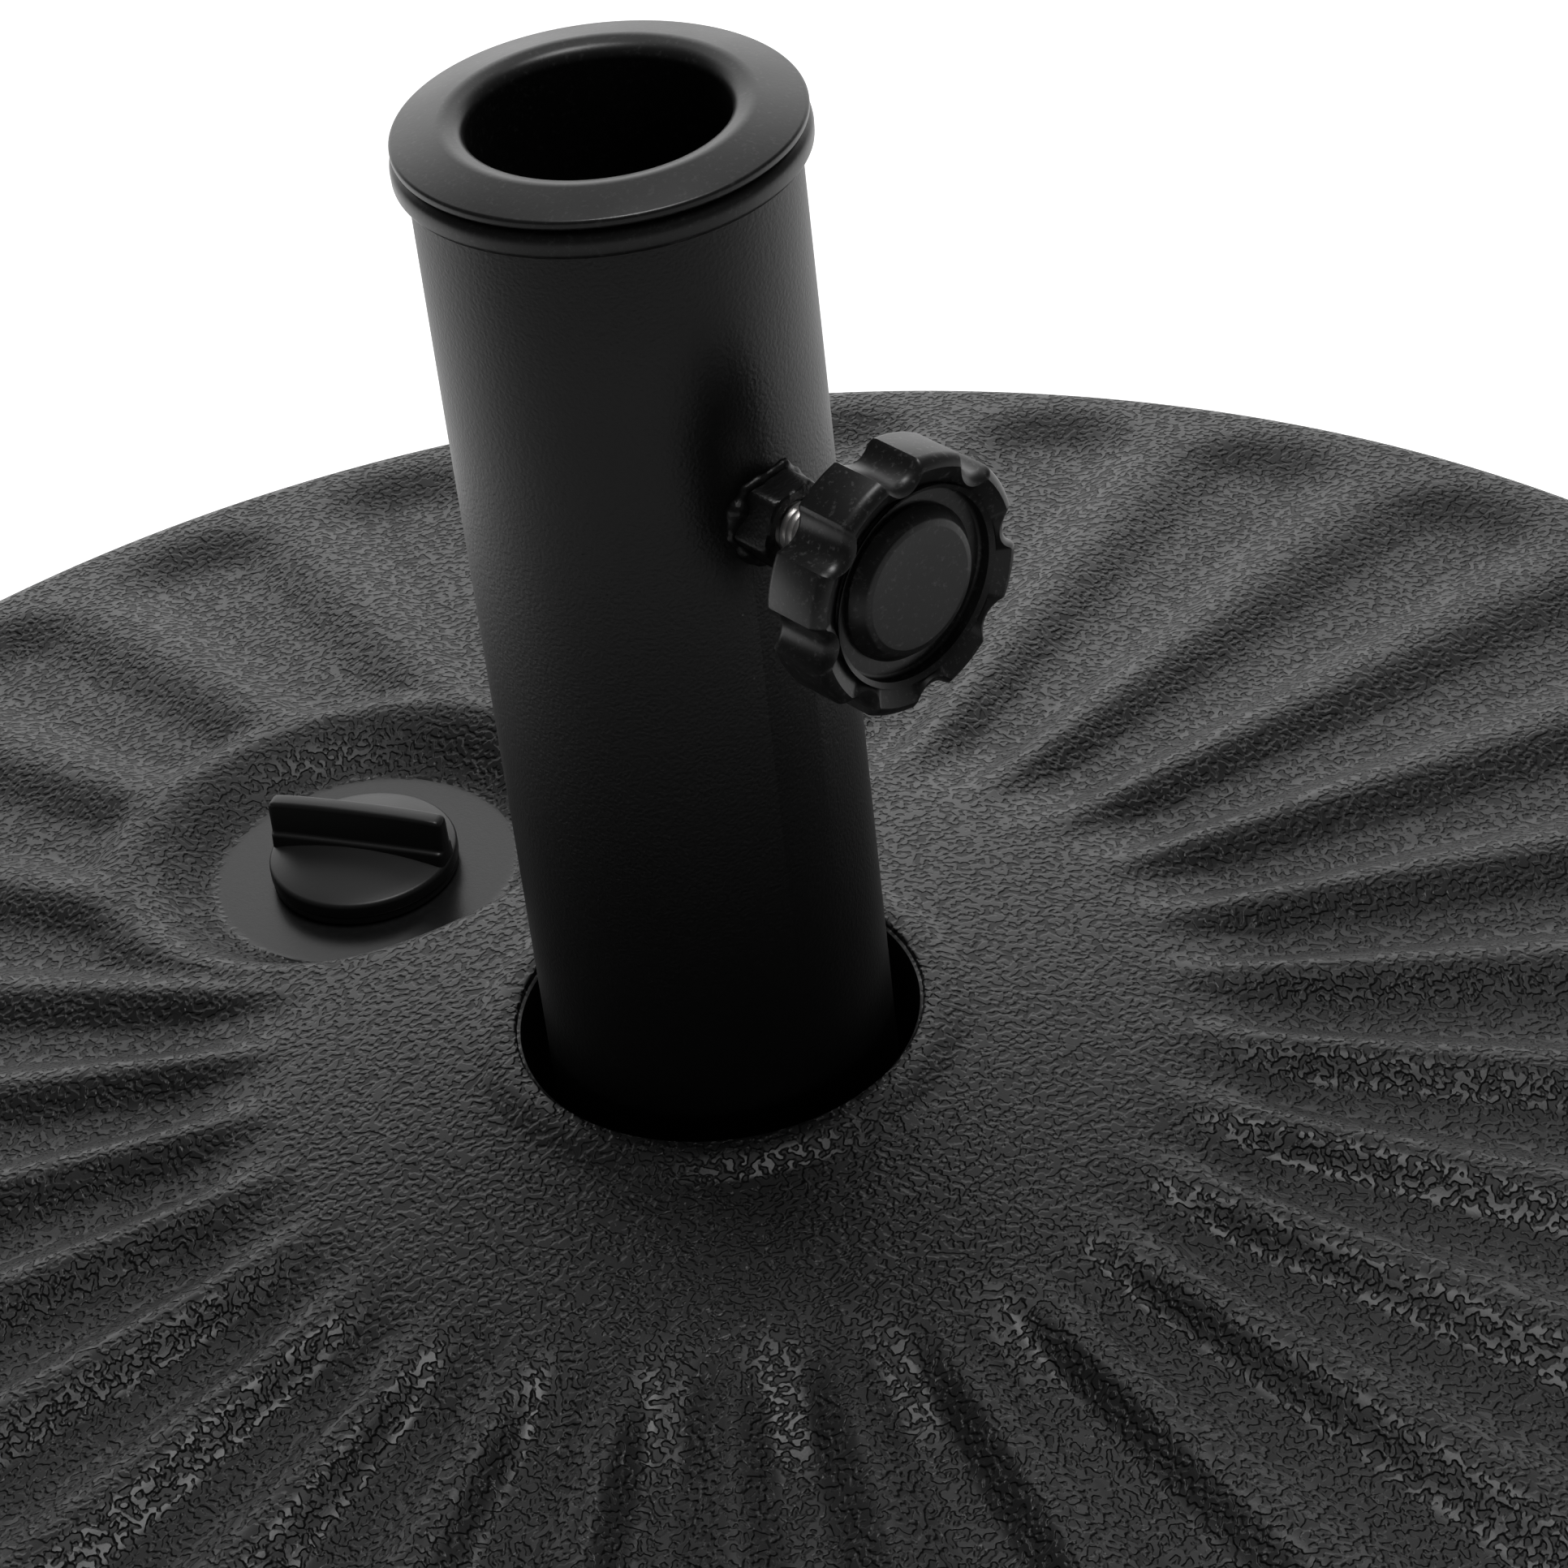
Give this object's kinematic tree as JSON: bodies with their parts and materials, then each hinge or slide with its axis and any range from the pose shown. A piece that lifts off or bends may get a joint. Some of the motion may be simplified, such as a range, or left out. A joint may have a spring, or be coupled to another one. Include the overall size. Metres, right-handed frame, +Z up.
{
  "type": "parasol base",
  "caption": "Low round fluted tank with a filling plug, an upright clamp tube in its middle, a pole reducer and a star knob on a clamp screw.",
  "frame": {"origin": "middle of the underside, on the ground", "axes": "+Z up along the tube, clamp knob towards -Y, filling plug towards +Y"},
  "size_m": [0.484, 0.484, 0.249],
  "materials": {
    "tank_plastic": "leather-grained satin",
    "plug_plastic": "smooth satin",
    "seal_rubber": "matt",
    "tube_paint": "satin powder coat",
    "bare_steel": "plain",
    "zinc": "bright zinc",
    "trim_plastic": "satin",
    "knob_plastic": "satin gloss",
    "nylon": "natural"
  },
  "bodies": {
    "base": {"base_shell": "tank_plastic", "support_tube": "tube_paint", "foot_plate": "bare_steel", "foot_nut": "bare_steel", "fixing_bolt": "zinc", "spring_washer": "zinc", "fixing_washer": "zinc", "tube_collar": "trim_plastic", "clamp_nut": "tube_paint"},
    "reducer": {"reducer_sleeve": "trim_plastic"},
    "plug_ring": {"plug_seal": "seal_rubber"},
    "plug": {"fill_plug": "plug_plastic"},
    "screw_tip": {"clamp_tip": "nylon"},
    "knob": {"clamp_screw": "zinc", "clamp_knob": "knob_plastic", "knob_cap": "knob_plastic"}
  },
  "joints": [
    {"name": "reducer_lift", "type": "slide", "parent": "base", "child": "reducer", "axis": [0, 0, 1], "range_m": [0, 0.05]},
    {"name": "plug_lift", "type": "slide", "parent": "base", "child": "plug_ring", "axis": [0, 0, 1], "range_m": [0, 0.012]},
    {"name": "plug_turn", "type": "hinge", "parent": "plug_ring", "child": "plug", "pos_m": [0, 0.098, 0.064], "axis": [0, 0, 1], "range_deg": [0, 1080]},
    {"name": "screw_feed", "type": "slide", "parent": "base", "child": "screw_tip", "axis": [0, -1, 0], "range_m": [-0.0115, 0.01]},
    {"name": "knob_turn", "type": "hinge", "parent": "screw_tip", "child": "knob", "pos_m": [0, -0.0595, 0.1915], "axis": [0, -1, 0], "range_deg": [-3312, 2880]}
  ],
  "couplings": [
    {"joint": "plug_lift", "follows": "plug_turn", "m_per_rad": 0.00063662},
    {"joint": "screw_feed", "follows": "knob_turn", "m_per_rad": 0.00019894}
  ]
}
